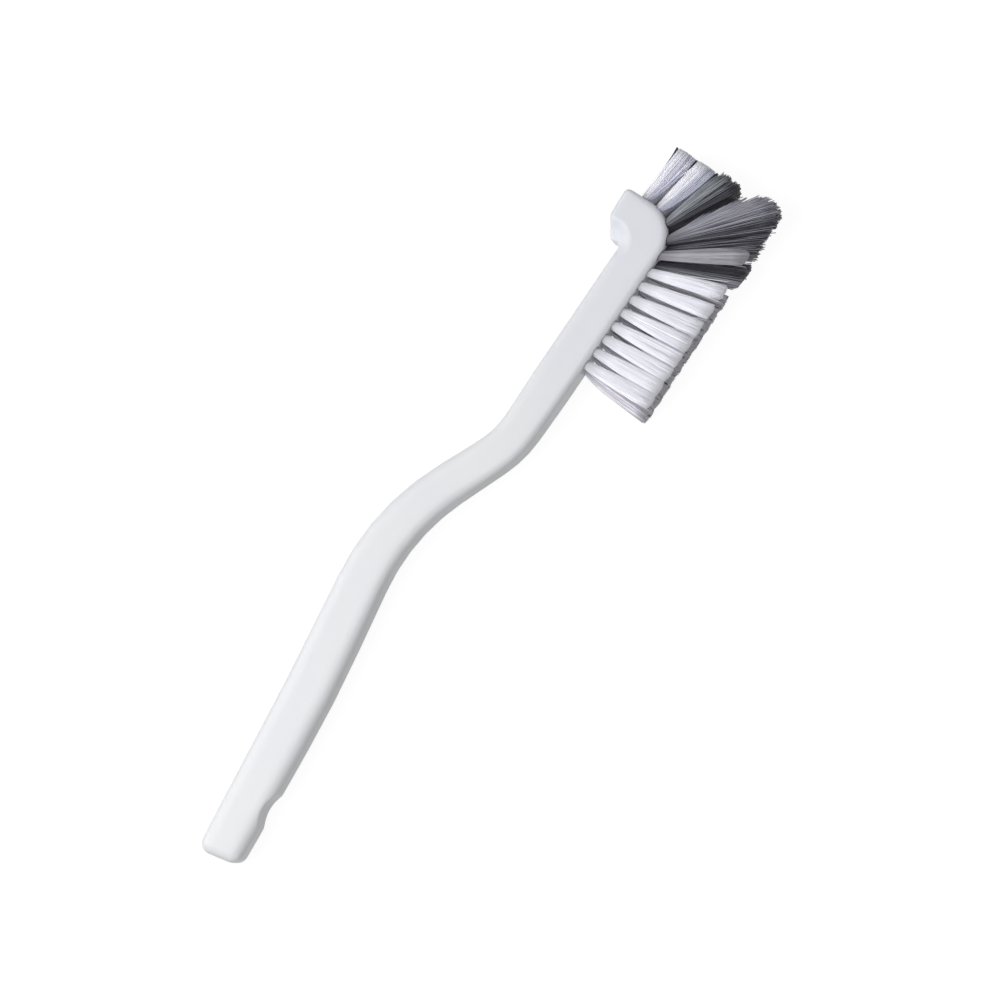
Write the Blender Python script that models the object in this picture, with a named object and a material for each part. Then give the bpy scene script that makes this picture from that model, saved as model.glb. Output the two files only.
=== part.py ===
"""A long-handled cleaning brush with a cranked handle, lying on its side.

The handle is one moulding: butt, grip, double bend, head, and a hook behind the nose.
Each tuft is folded round a flat wire anchor and driven into its own blind hole.
X runs along the head towards the nose, the bristles point to -Y and wrap round the
nose to +X, and the brush lies on its lower side face at Z = 0.
Lengths are in metres and angles in degrees.
"""

import math

import bmesh
import bpy
from mathutils import Matrix, Vector

# Handle thickness and the place of the datum on the head
THICKNESS = 0.0150
DATUM_TO_NOSE = 0.0300

# Lengths along the handle's centreline, from the nose to the butt
HEAD_LENGTH = 0.0660
NECK_LENGTH = 0.0210
CRANK_LENGTH = 0.0438
GRIP_LENGTH = 0.0585
TAIL_LENGTH = 0.0472
BUTT_LENGTH = 0.0117

# Directions of the centreline, measured from the head's own line
CRANK_ANGLE = 23.3
GRIP_ANGLE = 8.6
TAIL_ANGLE = 5.6

# Widths across the handle, at the end of each length
HEAD_WIDTH = 0.0124
NECK_WIDTH = 0.0115
SHOULDER_WIDTH = 0.0139
GRIP_WIDTH = 0.0158
TAIL_WIDTH = 0.0143
BUTT_WIDTH = 0.0136

# Centreline radii of the bends
NECK_BEND = 0.036
SHOULDER_BEND = 0.074
GRIP_BEND = 0.400

# Rounding of the long edges, where the side faces meet the back and the bristle side
HEAD_EDGE = 0.0024
NECK_EDGE = 0.0026
SHOULDER_EDGE = 0.0033
GRIP_EDGE = 0.0038
BUTT_EDGE = 0.0034
HOOK_EDGE = 0.0014

# Butt end, seen from the side
BUTT_CORNER = 0.0036
BUTT_RAKE = 0.0016

# Shallow hanging notch near the butt, on the bristle side
NOTCH_TO_BUTT = 0.0200
NOTCH_RADIUS = 0.0110
NOTCH_DEPTH = 0.0016

# Nose and hook, seen from the side
NOSE_RADIUS = 0.0116
HOOK_HEIGHT = 0.0083
HOOK_LENGTH = 0.0159
HOOK_FACE_LEAN = 0.0008
HOOK_TOP_LENGTH = 0.0098
HOOK_TOP_FALL = 0.0005
HOOK_LIP_HEIGHT = 0.0032
HOOK_LIP_REACH = 0.0021
HOOK_FRONT_CORNER = 0.0017
HOOK_SHOULDER_CORNER = 0.0030
HOOK_LIP_CORNER = 0.0018
HOOK_ROOT_CORNER = 0.0010
HOOK_BLEND = 0.0100

# Conical relief cut into both side faces at the hook's mouth
RELIEF_RADIUS = 0.0067
RELIEF_DEPTH = 0.0022
RELIEF_TAPER = 0.0034
RELIEF_ABOVE_BACK = 0.0039
RELIEF_BEHIND_HOOK = 0.0016

# Tuft bundles, and the holes and anchors that hold them
BUNDLE_RADIUS = 0.00135
HOLE_CLEARANCE = 0.00025
HOLE_DEPTH = 0.0060
ANCHOR_THICKNESS = 0.0004
ANCHOR_HEIGHT = 0.0016
ANCHOR_BITE = 0.00025
ANCHOR_CLEARANCE = 0.00022
FOLD_THICKNESS = 0.0007

# Rows of tufts
ROW_OFFSET = 0.0040
ROW_SPLAY = 1.2
STRAIGHT_TUFTS = 8
STRAIGHT_PITCH = 0.00495
STRAIGHT_TO_NOSE_ARC = 0.00725
STRAIGHT_LEAN_FIRST = 4.2
STRAIGHT_LEAN_LAST = 17.8
STRAIGHT_LEAN_POWER = 3.0
FAN_TUFTS = 5
FAN_GAP = 0.00635
FAN_PITCH = 0.00535
FAN_LEAN_FIRST = 32.5
FAN_LEAN_LAST = 84.5
FAN_LEAN_POWER = 1.5
REAR_STAGGER = 0.0010
REAR_LEAN = 6.0
CENTRE_TUFTS = 3
CENTRE_LEAN_SHARE = 0.4

# Exposed bristle, measured from the bristle side and from the nose
BRISTLE_LENGTH = 0.0229
TRIM_SLOPE = 0.6
NOSE_REACH = 0.0184
REAR_EXTRA = 0.0006
FAN_EXTRA = 0.0032
TRIM_CORNER_POWER = 12

# Spread of a tuft, what the last straight one has more, and the strands in a tuft
FRONT_FLARE = 2.8
FRONT_FLARE_GAIN = 0.5
REAR_FLARE = 3.0
REAR_FLARE_GAIN = 2.6
FAN_FLARE = 5.4
ROW_FLARE = 1.6
STRANDS_ACROSS = 4
STRAND_FILL = 0.82

# Fineness of round stretches
ARC_STEP = 7.5
LONGEST_SPAN = 0.012
EDGE_STEPS = 4
HOLE_SIDES = 12
RELIEF_SIDES = 40
NOTCH_SIDES = 72
CUTTER_OVERRUN = 0.0030

WHITE = "white_bristle"
GREY = "grey_bristle"
DARK = "dark_bristle"
FRONT_FAN_COLOURS = (GREY, GREY, DARK, WHITE, WHITE)
REAR_FAN_COLOURS = (DARK, DARK, DARK, WHITE, WHITE)

# How much of the fan's extra length each tuft has: the last centre tuft is shorter
FRONT_FAN_SHARES = (0.0, 0.75, 0.2, 0.0, 0.0)
REAR_FAN_SHARES = (0.45, 0.2, 0.0, 0.0, 0.0)
CENTRE_SHARES = (0.65, 0.4, -1.0)

# Colour, roughness and metallic value of each material
FINISHES = {
    "white_plastic": ((0.80, 0.81, 0.83), 0.38, 0.0),
    WHITE: ((0.80, 0.80, 0.87), 0.45, 0.0),
    GREY: ((0.36, 0.35, 0.36), 0.45, 0.0),
    DARK: ((0.10, 0.10, 0.11), 0.45, 0.0),
    "anchor_wire": ((0.62, 0.58, 0.50), 0.35, 1.0),
}


def clear_scene():
    """Remove whatever the open file holds."""
    for thing in list(bpy.data.objects):
        bpy.data.objects.remove(thing, do_unlink=True)


def make_material(name):
    """Build one Principled material from the table of finishes."""
    colour, roughness, metallic = FINISHES[name]
    material = bpy.data.materials.new(name)
    material.use_nodes = True
    shader = material.node_tree.nodes["Principled BSDF"]
    shader.inputs["Base Color"].default_value = (*colour, 1.0)
    shader.inputs["Roughness"].default_value = roughness
    shader.inputs["Metallic"].default_value = metallic
    return material


def add_object(name, mesh, material=None):
    """Put a mesh into the scene under its part's name."""
    thing = bpy.data.objects.new(name, mesh)
    bpy.context.scene.collection.objects.link(thing)
    if material is not None:
        mesh.materials.clear()
        mesh.materials.append(material)
    return thing


def hide_cutter(cutter):
    """Mark a cutting shape, which is not a part of the brush."""
    cutter.hide_render = True
    cutter.display_type = "WIRE"
    return cutter


def add_boolean(target, operation, cutter=None, collection=None):
    """Cut or join with the exact solver."""
    boolean = target.modifiers.new(operation.lower(), "BOOLEAN")
    boolean.operation = operation
    boolean.solver = "EXACT"
    if collection is not None:
        boolean.operand_type = "COLLECTION"
        boolean.collection = collection
    else:
        boolean.object = cutter
    return boolean


def box_mesh(name, size):
    """A box centred on its own origin."""
    shape = bmesh.new()
    bmesh.ops.create_cube(shape, size=1.0)
    bmesh.ops.scale(shape, vec=Vector(size), verts=shape.verts)
    mesh = bpy.data.meshes.new(name)
    shape.to_mesh(mesh)
    shape.free()
    return mesh


def cone_mesh(name, sides, low_radius, high_radius, low, high):
    """A cylinder or cone about its own Z axis, from height low to height high."""
    shape = bmesh.new()
    bmesh.ops.create_cone(
        shape,
        cap_ends=True,
        segments=sides,
        radius1=low_radius,
        radius2=high_radius,
        depth=high - low,
    )
    bmesh.ops.translate(shape, vec=Vector((0, 0, (low + high) / 2)), verts=shape.verts)
    mesh = bpy.data.meshes.new(name)
    shape.to_mesh(mesh)
    shape.free()
    return mesh


# Centreline and outline of the handle

def handle_stations():
    """Points of the centreline with width, bend radius and edge rounding, nose first."""
    stretches = (
        (HEAD_LENGTH, 0.0, HEAD_WIDTH, 0.0, HEAD_EDGE),
        (NECK_LENGTH, 0.0, NECK_WIDTH, NECK_BEND, NECK_EDGE),
        (CRANK_LENGTH, CRANK_ANGLE, SHOULDER_WIDTH, SHOULDER_BEND, SHOULDER_EDGE),
        (GRIP_LENGTH, -GRIP_ANGLE, GRIP_WIDTH, GRIP_BEND, GRIP_EDGE),
        (TAIL_LENGTH, -TAIL_ANGLE, TAIL_WIDTH, 0.0, GRIP_EDGE),
        (BUTT_LENGTH, -TAIL_ANGLE, BUTT_WIDTH, 0.0, BUTT_EDGE),
    )
    point = Vector((DATUM_TO_NOSE, 0.0))
    stations = [(point, HEAD_WIDTH, 0.0, HEAD_EDGE)]
    for length, angle, width, bend, edge in stretches:
        heading = math.radians(angle)
        point = point + length * Vector((-math.cos(heading), math.sin(heading)))
        stations.append((point, width, bend, edge))
    return stations


def side_corner(stations, index, side):
    """Outline corner beside a station: side is 1 for the back, -1 for the bristles."""
    point, width, bend, edge = stations[index]
    before = (point - stations[index - 1][0]).normalized()
    after = (stations[index + 1][0] - point).normalized()
    turn = before.angle_signed(after)
    middle = (before + after).normalized()
    across = Vector((middle.y, -middle.x))
    corner = point + side * across * (width / 2) / math.cos(turn / 2)
    radius = 0.0
    if bend > 0.0:
        inside = 1 if (turn * side) > 0 else -1
        radius = bend - inside * width / 2
    return corner, radius, edge


def butt_corners(stations):
    """The two corners of the butt end, the bristle side last."""
    end, width, _, edge = stations[-1]
    along = (end - stations[-2][0]).normalized()
    across = Vector((along.y, -along.x))
    back = end + across * width / 2 + along * BUTT_RAKE / 2
    front = end - across * width / 2 - along * BUTT_RAKE / 2
    return (back, BUTT_CORNER, edge), (front, BUTT_CORNER, edge)


def nose_and_hook_corners():
    """Corners from the nose's underside over the hook to the head's back."""
    nose = DATUM_TO_NOSE
    back = HEAD_WIDTH / 2
    top = back + HOOK_HEIGHT
    root = nose - HOOK_LENGTH
    top_rear = nose - HOOK_FACE_LEAN - HOOK_TOP_LENGTH
    return [
        (Vector((nose, -back)), NOSE_RADIUS, HEAD_EDGE),
        (Vector((nose - HOOK_FACE_LEAN, top)), HOOK_FRONT_CORNER, HOOK_EDGE),
        (Vector((top_rear, top - HOOK_TOP_FALL)), HOOK_SHOULDER_CORNER, HOOK_EDGE),
        (Vector((root - HOOK_LIP_REACH, back + HOOK_LIP_HEIGHT)), HOOK_LIP_CORNER, HOOK_EDGE),
        (Vector((root, back)), HOOK_ROOT_CORNER, HOOK_EDGE),
        (Vector((root - HOOK_BLEND, back)), 0.0, HEAD_EDGE),
    ]


def handle_corners():
    """All outline corners, anticlockwise from the butt along the bristle side."""
    stations = handle_stations()
    inner = range(1, len(stations) - 1)
    butt_back, butt_front = butt_corners(stations)
    corners = [butt_front]
    corners += [side_corner(stations, index, -1) for index in reversed(inner)]
    corners += nose_and_hook_corners()
    corners += [side_corner(stations, index, 1) for index in inner]
    corners.append(butt_back)
    return corners


def round_corner(before, corner, after):
    """Points of one filleted corner, each with its inward normal and edge rounding."""
    point, radius, edge = corner
    way_in = (point - before[0]).normalized()
    way_out = (after[0] - point).normalized()
    turn = math.atan2(way_in.x * way_out.y - way_in.y * way_out.x, way_in.dot(way_out))
    if radius == 0.0:
        way = (way_in + way_out).normalized()
        return [(point, Vector((-way.y, way.x)), edge)]
    sign = 1.0 if turn > 0.0 else -1.0
    start = point - way_in * radius * math.tan(abs(turn) / 2)
    normal = Vector((-way_in.y, way_in.x))
    centre = start + normal * radius * sign
    steps = max(2, math.ceil(abs(math.degrees(turn)) / ARC_STEP))
    points = []
    for step in range(steps + 1):
        turned = normal.copy()
        turned.rotate(Matrix.Rotation(turn * step / steps, 2))
        points.append((centre - turned * radius * sign, turned, edge))
    return points


def fill_straight(start, end):
    """Evenly spaced points between two outline points, with the rounding blended."""
    gap = (end[0] - start[0]).length
    pieces = math.ceil(gap / LONGEST_SPAN)
    filled = []
    for piece in range(1, pieces):
        share = piece / pieces
        filled.append((
            start[0].lerp(end[0], share),
            start[1].lerp(end[1], share).normalized(),
            start[2] + (end[2] - start[2]) * share,
        ))
    return filled


def handle_outline():
    """The whole closed outline as points, inward normals and edge roundings."""
    corners = handle_corners()
    count = len(corners)
    arcs = [
        round_corner(corners[index - 1], corners[index], corners[(index + 1) % count])
        for index in range(count)
    ]
    outline = []
    for index, arc in enumerate(arcs):
        outline += arc
        outline += fill_straight(arc[-1], arcs[(index + 1) % count][0])
    return outline


# Handle solid

def edge_levels():
    """Inset share and height share of each ring, from the lower face to the upper."""
    quarter = [math.pi / 2 * step / EDGE_STEPS for step in range(EDGE_STEPS + 1)]
    lower = [(1 - math.cos(angle), math.sin(angle), -1) for angle in reversed(quarter)]
    upper = [(1 - math.cos(angle), math.sin(angle), 1) for angle in quarter]
    return lower + upper


def handle_blank():
    """The moulding before it is drilled: rings of the outline, inset round its edges."""
    outline = handle_outline()
    shape = bmesh.new()
    rings = []
    for inset, rise, side in edge_levels():
        ring = []
        for point, normal, edge in outline:
            place = point + normal * edge * inset
            height = THICKNESS / 2 + side * (THICKNESS / 2 - edge + edge * rise)
            ring.append(shape.verts.new((place.x, place.y, height)))
        rings.append(ring)
    count = len(outline)
    for low, high in zip(rings, rings[1:]):
        for index in range(count):
            following = (index + 1) % count
            shape.faces.new((low[index], low[following], high[following], high[index]))
    shape.faces.new(list(reversed(rings[0])))
    shape.faces.new(rings[-1])
    mesh = bpy.data.meshes.new("handle")
    shape.to_mesh(mesh)
    shape.free()
    return mesh


def notch_cutter():
    """An upright cylinder that bites into the bristle side near the butt."""
    stations = handle_stations()
    end = stations[-1][0]
    along = (stations[-2][0] - end).normalized()
    across = Vector((along.y, -along.x))
    slope = (TAIL_WIDTH - BUTT_WIDTH) / 2 / BUTT_LENGTH
    half_width = min(BUTT_WIDTH / 2 + slope * NOTCH_TO_BUTT, TAIL_WIDTH / 2)
    place = end + along * NOTCH_TO_BUTT
    place = place + across * (half_width + NOTCH_RADIUS - NOTCH_DEPTH)
    mesh = cone_mesh(
        "notch_cutter", NOTCH_SIDES, NOTCH_RADIUS, NOTCH_RADIUS,
        -CUTTER_OVERRUN, THICKNESS + CUTTER_OVERRUN,
    )
    cutter = hide_cutter(add_object("notch_cutter", mesh))
    cutter.location = (place.x, place.y, 0.0)
    return cutter


def relief_cutter(side):
    """A cone that thins the hook's mouth from the upper (1) or lower (-1) face."""
    slope = RELIEF_TAPER / RELIEF_DEPTH
    mesh = cone_mesh(
        "relief_cutter", RELIEF_SIDES,
        RELIEF_RADIUS - RELIEF_TAPER, RELIEF_RADIUS + slope * CUTTER_OVERRUN,
        -RELIEF_DEPTH, CUTTER_OVERRUN,
    )
    cutter = hide_cutter(add_object("relief_cutter", mesh))
    place_x = DATUM_TO_NOSE - HOOK_LENGTH - RELIEF_BEHIND_HOOK
    place_y = HEAD_WIDTH / 2 + RELIEF_ABOVE_BACK
    face = THICKNESS if side > 0 else 0.0
    cutter.location = (place_x, place_y, face)
    cutter.rotation_euler = (0.0 if side > 0 else math.pi, 0.0, 0.0)
    return cutter


# Tuft places

def face_point(distance):
    """Point on the bristle side, measured along it from where the nose arc begins."""
    arc_x = DATUM_TO_NOSE - NOSE_RADIUS
    arc_y = NOSE_RADIUS - HEAD_WIDTH / 2
    angle = distance / NOSE_RADIUS
    if angle <= 0.0:
        return Vector((arc_x + distance, -HEAD_WIDTH / 2))
    if angle >= math.pi / 2:
        past = distance - NOSE_RADIUS * math.pi / 2
        return Vector((DATUM_TO_NOSE, arc_y + past))
    return Vector((
        arc_x + NOSE_RADIUS * math.sin(angle),
        arc_y - NOSE_RADIUS * math.cos(angle),
    ))


def row_places():
    """Distance along the face and forward lean of each tuft in the front row."""
    places = []
    for index in range(STRAIGHT_TUFTS):
        behind = (STRAIGHT_TUFTS - 1 - index) * STRAIGHT_PITCH
        share = (index / (STRAIGHT_TUFTS - 1)) ** STRAIGHT_LEAN_POWER
        lean = STRAIGHT_LEAN_FIRST + (STRAIGHT_LEAN_LAST - STRAIGHT_LEAN_FIRST) * share
        places.append((-STRAIGHT_TO_NOSE_ARC - behind, lean))
    for index in range(FAN_TUFTS):
        ahead = FAN_GAP + index * FAN_PITCH
        share = 1 - (1 - index / (FAN_TUFTS - 1)) ** FAN_LEAN_POWER
        lean = FAN_LEAN_FIRST + (FAN_LEAN_LAST - FAN_LEAN_FIRST) * share
        places.append((-STRAIGHT_TO_NOSE_ARC + ahead, lean))
    return places


def straight_tufts(places):
    """The pairs of white tufts along the straight part of the head."""
    tufts = []
    for index, (distance, lean) in enumerate(places):
        label = f"{index + 1:02d}"
        behind = distance - REAR_STAGGER
        rear_lean = lean - REAR_LEAN
        share = (lean - STRAIGHT_LEAN_FIRST) / (STRAIGHT_LEAN_LAST - STRAIGHT_LEAN_FIRST)
        flare = FRONT_FLARE + FRONT_FLARE_GAIN * share
        rear_flare = REAR_FLARE + REAR_FLARE_GAIN * share
        tufts.append(("front_" + label, distance, lean, 1, WHITE, flare, 0.0))
        tufts.append(("rear_" + label, behind, rear_lean, -1, WHITE, rear_flare, REAR_EXTRA))
    return tufts


def fan_tufts(places):
    """The pairs of tufts round the nose, whose rear ones come up to the front ones' lean."""
    tufts = []
    for index, (distance, lean) in enumerate(places):
        label = f"{STRAIGHT_TUFTS + index + 1:02d}"
        behind = distance - REAR_STAGGER
        rear_lean = lean - REAR_LEAN * (1 - index / FAN_TUFTS)
        colour = FRONT_FAN_COLOURS[index]
        rear_colour = REAR_FAN_COLOURS[index]
        extra = FAN_EXTRA * FRONT_FAN_SHARES[index]
        rear_extra = FAN_EXTRA * REAR_FAN_SHARES[index]
        tufts.append(("front_" + label, distance, lean, 1, colour, FAN_FLARE, extra))
        tufts.append(("rear_" + label, behind, rear_lean, -1, rear_colour, FAN_FLARE, rear_extra))
    return tufts


def centre_tufts(places):
    """The dark tufts on the mid-plane, each between two tufts of the front row."""
    tufts = []
    for index in range(CENTRE_TUFTS):
        before, after = places[STRAIGHT_TUFTS + index - 1:STRAIGHT_TUFTS + index + 1]
        distance = (before[0] + after[0]) / 2
        lean = before[1] + (after[1] - before[1]) * CENTRE_LEAN_SHARE
        extra = FAN_EXTRA * CENTRE_SHARES[index]
        tufts.append((f"centre_{index + 1:02d}", distance, lean, 0, DARK, FAN_FLARE, extra))
    return tufts


def tuft_list():
    """Name, distance, lean, row side, colour, flare and extra length of every tuft."""
    places = row_places()
    pairs = straight_tufts(places[:STRAIGHT_TUFTS]) + fan_tufts(places[STRAIGHT_TUFTS:])
    return pairs + centre_tufts(places)


def tuft_frame(distance, lean, side):
    """Matrix whose origin is the tuft's root and whose Z axis points along the tuft."""
    point = face_point(distance)
    forward = math.radians(lean)
    splay = math.radians(ROW_SPLAY) * side
    outward = Vector((
        math.sin(forward) * math.cos(splay),
        -math.cos(forward) * math.cos(splay),
        math.sin(splay),
    ))
    sideways = Vector((math.cos(forward), math.sin(forward), 0.0))
    upward = outward.cross(sideways)
    height = THICKNESS / 2 + ROW_OFFSET * side
    frame = Matrix((sideways, upward, outward)).transposed().to_4x4()
    frame.translation = Vector((point.x, point.y, height))
    return frame


# Tufts

def disc_point(across, along):
    """Map a point of the square from -1 to 1 onto the unit disc."""
    return Vector((
        across * math.sqrt(1 - along**2 / 2),
        along * math.sqrt(1 - across**2 / 2),
    ))


def trimmed_length(start, way, extra):
    """Length of a strand up to the trim, flat on two sides and rounded between them."""
    slope = math.tan(math.radians(TRIM_SLOPE))
    trim_at_nose = -HEAD_WIDTH / 2 - BRISTLE_LENGTH - extra
    bristle_trim = trim_at_nose + (start.x - DATUM_TO_NOSE) * slope
    nose_trim = DATUM_TO_NOSE + NOSE_REACH + extra
    towards_trim = way.y - way.x * slope
    inverse = 0.0
    if towards_trim < 0.0:
        inverse += (towards_trim / (bristle_trim - start.y)) ** TRIM_CORNER_POWER
    if way.x > 0.0:
        inverse += (way.x / (nose_trim - start.x)) ** TRIM_CORNER_POWER
    return inverse ** (-1 / TRIM_CORNER_POWER)


def strand_tip(root, centre, frame, spread, extra):
    """Middle of a strand's cut end, in the tuft's own axes."""
    way = Vector((centre.x * spread[0], centre.y * spread[1], 1.0)).normalized()
    start = frame @ root
    length = trimmed_length(start, frame.to_3x3() @ way, extra)
    return root + way * length


def tuft_mesh(name, frame, flare, extra):
    """A round slug, split at the hole's mouth into a grid of separate strands."""
    shape = bmesh.new()
    count = STRANDS_ACROSS
    steps = [2 * index / count - 1 for index in range(count + 1)]
    grid = []
    for across in steps:
        column = []
        for along in steps:
            place = disc_point(across, along) * BUNDLE_RADIUS
            column.append(shape.verts.new((place.x, place.y, 0.0)))
        grid.append(column)
    spread = (math.tan(math.radians(flare)), math.tan(math.radians(ROW_FLARE)))
    for i in range(count):
        for j in range(count):
            cell = (grid[i][j], grid[i + 1][j], grid[i + 1][j + 1], grid[i][j + 1])
            middle = disc_point(steps[i] + 1 / count, steps[j] + 1 / count)
            root = sum((corner.co for corner in cell), Vector()) / 4
            tip = strand_tip(root, middle, frame, spread, extra)
            growth = [1 + slope * tip.z / BUNDLE_RADIUS for slope in spread]
            width = Vector((growth[0], growth[1], 1.0)) * STRAND_FILL
            ends = [shape.verts.new(tip + (corner.co - root) * width) for corner in cell]
            for side in range(4):
                after = (side + 1) % 4
                shape.faces.new((cell[side], cell[after], ends[after], ends[side]))
            shape.faces.new(ends)
    close_slug(shape, grid)
    mesh = bpy.data.meshes.new(name)
    shape.to_mesh(mesh)
    shape.free()
    mesh.shade_smooth()
    mesh.set_sharp_from_angle(angle=math.radians(40))
    return mesh


def close_slug(shape, grid):
    """Run the grid's rim down the hole and close the bundle's folded end."""
    rim = [column[0] for column in grid]
    rim += [vertex for vertex in grid[-1][1:]]
    rim += [column[-1] for column in reversed(grid[:-1])]
    rim += [vertex for vertex in reversed(grid[0][1:-1])]
    depth = HOLE_DEPTH - HOLE_CLEARANCE
    base = [shape.verts.new((vertex.co.x, vertex.co.y, -depth)) for vertex in rim]
    for index in range(len(rim)):
        after = (index + 1) % len(rim)
        shape.faces.new((base[index], base[after], rim[after], rim[index]))
    shape.faces.new(list(reversed(base)))


def anchor_depth():
    """Depth of the anchor's middle below the hole's mouth."""
    seat = HOLE_DEPTH - HOLE_CLEARANCE - FOLD_THICKNESS
    return seat - ANCHOR_CLEARANCE - ANCHOR_HEIGHT / 2


def anchor_length():
    """The anchor spans the hole and bites into its wall at both ends."""
    return 2 * (BUNDLE_RADIUS + HOLE_CLEARANCE + ANCHOR_BITE)


def window_mesh():
    """The slot that an anchor needs, through the bundle and into the hole's wall."""
    return box_mesh("anchor_window", (
        ANCHOR_THICKNESS + 2 * ANCHOR_CLEARANCE,
        anchor_length() + 2 * ANCHOR_CLEARANCE,
        ANCHOR_HEIGHT + 2 * ANCHOR_CLEARANCE,
    ))


def hole_mesh():
    """Blind hole with the anchor's two pockets, as one closed cutting shape."""
    radius = (BUNDLE_RADIUS + HOLE_CLEARANCE) / math.cos(math.pi / HOLE_SIDES)
    drill_mesh = cone_mesh("drill", HOLE_SIDES, radius, radius, -HOLE_DEPTH, CUTTER_OVERRUN)
    drill = hide_cutter(add_object("drill", drill_mesh))
    window = hide_cutter(add_object("pocket_cutter", window_mesh()))
    window.location = (0.0, 0.0, -anchor_depth())
    add_boolean(drill, "UNION", cutter=window)
    bpy.context.view_layer.update()
    evaluated = drill.evaluated_get(bpy.context.evaluated_depsgraph_get())
    mesh = bpy.data.meshes.new_from_object(evaluated)
    bpy.data.objects.remove(drill, do_unlink=True)
    bpy.data.objects.remove(window, do_unlink=True)
    return mesh


def place_tufts(materials, brush, cutters):
    """Make every tuft with its anchor, and the cutter for its hole."""
    hole = hole_mesh()
    anchor = box_mesh("anchor", (ANCHOR_THICKNESS, anchor_length(), ANCHOR_HEIGHT))
    window = window_mesh()
    seat = Matrix.Translation((0.0, 0.0, -anchor_depth()))
    for label, distance, lean, side, colour, flare, extra in tuft_list():
        frame = tuft_frame(distance, lean, side)
        mesh = tuft_mesh("tuft_" + label, frame, flare, extra)
        tuft = add_object("tuft_" + label, mesh, materials[colour])
        tuft.matrix_world = frame
        tuft.parent = brush
        slot = hide_cutter(add_object("window_" + label, window))
        slot.matrix_world = frame @ seat
        add_boolean(tuft, "DIFFERENCE", cutter=slot)
        clip = add_object("anchor_" + label, anchor, materials["anchor_wire"])
        clip.matrix_world = frame @ seat
        clip.parent = brush
        drill = hide_cutter(bpy.data.objects.new("hole_" + label, hole))
        cutters.objects.link(drill)
        drill.matrix_world = frame


def make_handle(materials, brush, cutters):
    """The moulded handle with its holes, notch and hook reliefs."""
    handle = add_object("handle", handle_blank(), materials["white_plastic"])
    handle.parent = brush
    handle.data.shade_smooth()
    handle.data.set_sharp_from_angle(angle=math.radians(35))
    add_boolean(handle, "DIFFERENCE", cutter=notch_cutter())
    add_boolean(handle, "DIFFERENCE", cutter=relief_cutter(1))
    add_boolean(handle, "DIFFERENCE", cutter=relief_cutter(-1))
    add_boolean(handle, "DIFFERENCE", collection=cutters)


def build_brush():
    """Assemble the brush under one empty at the datum."""
    clear_scene()
    materials = {name: make_material(name) for name in FINISHES}
    brush = add_object("brush_datum", None)
    cutters = bpy.data.collections.new("hole_cutters")
    bpy.context.scene.collection.children.link(cutters)
    place_tufts(materials, brush, cutters)
    make_handle(materials, brush, cutters)
    bpy.context.view_layer.update()


build_brush()
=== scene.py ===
"""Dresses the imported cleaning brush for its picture.

The moulded handle gets a finer skin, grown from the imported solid, and each tuft is made
of fine filaments that start in the same hole and stop near the same trim.
Lengths are in metres and angles in degrees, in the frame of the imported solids.
"""

import math
import random
from typing import NamedTuple

import bpy
import numpy as np
from mathutils import Matrix, Vector


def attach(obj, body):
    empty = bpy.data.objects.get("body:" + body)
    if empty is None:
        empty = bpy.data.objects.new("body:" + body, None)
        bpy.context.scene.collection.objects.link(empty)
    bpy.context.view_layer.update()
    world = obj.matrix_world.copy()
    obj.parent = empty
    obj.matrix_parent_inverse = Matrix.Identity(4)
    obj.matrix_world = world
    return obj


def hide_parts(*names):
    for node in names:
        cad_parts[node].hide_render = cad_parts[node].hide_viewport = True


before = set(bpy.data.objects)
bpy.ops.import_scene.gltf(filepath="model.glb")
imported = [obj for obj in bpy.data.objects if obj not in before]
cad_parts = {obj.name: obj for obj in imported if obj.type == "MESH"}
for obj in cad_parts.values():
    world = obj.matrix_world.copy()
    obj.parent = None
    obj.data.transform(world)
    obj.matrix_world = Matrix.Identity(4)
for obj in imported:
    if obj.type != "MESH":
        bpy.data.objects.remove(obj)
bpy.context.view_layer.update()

# Camera: the width it sees at the brush, the photograph's centre there, tilt, roll and lens
PICTURE_WIDTH = 0.310
VIEW_CENTRE_X = -0.0730
VIEW_CENTRE_ACROSS = -0.00675
VIEW_TILT = 9.0
VIEW_ROLL = 55.8
LENS = 180.0
SENSOR = 36.0

# Trim of the bristles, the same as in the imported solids
MID_HEIGHT = 0.0075
DATUM_TO_NOSE = 0.0300
BRISTLE_FACE = -0.0062
BRISTLE_LENGTH = 0.0229
TRIM_SLOPE = 0.6
NOSE_REACH = 0.0184
REAR_EXTRA = 0.0006
FAN_EXTRA = 0.0032
FRONT_FAN_SHARES = (0.0, 0.75, 0.2, 0.0, 0.0)
REAR_FAN_SHARES = (0.45, 0.2, 0.0, 0.0, 0.0)
CENTRE_SHARES = (0.65, 0.4, -1.0)

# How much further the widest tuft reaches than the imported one
WIDEST_TUFT_EXTRA = 0.0010

# Corner between the trim's two planes, worn rounder the lower the power
TRIM_CORNER_POWER = 6

# Tufts, whose flare along the straight stretch changes by a gain towards the nose
STRAIGHT_TUFTS = 8
SLUG_DEPTH = 0.00575
BUNDLE_RADIUS = 0.00135
ROW_FLARE = 1.9
FLARE_POWER = 3.0
FRONT_FLARE_GAIN = -0.8
REAR_FLARE_GAIN = 2.4

# Filaments: their number, their size, and their places in the bundle
FILAMENTS = 340
FILAMENT_RADIUS = 0.000140
RADIUS_RANGE = (0.88, 1.1)
FILAMENT_SIDES = 5
FILAMENT_STEPS = 6
ROOT_DEPTH = 0.0015
GOLDEN_ANGLE = 137.508
PLACE_SHAKE = 0.1
CLUMPS = 14

# Bends of the filaments, more for a stray one and less through the thickness
STRAY_BEND = 0.0011
STRAY_SHARE = 0.015
UPRIGHT_BEND = 0.2

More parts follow.
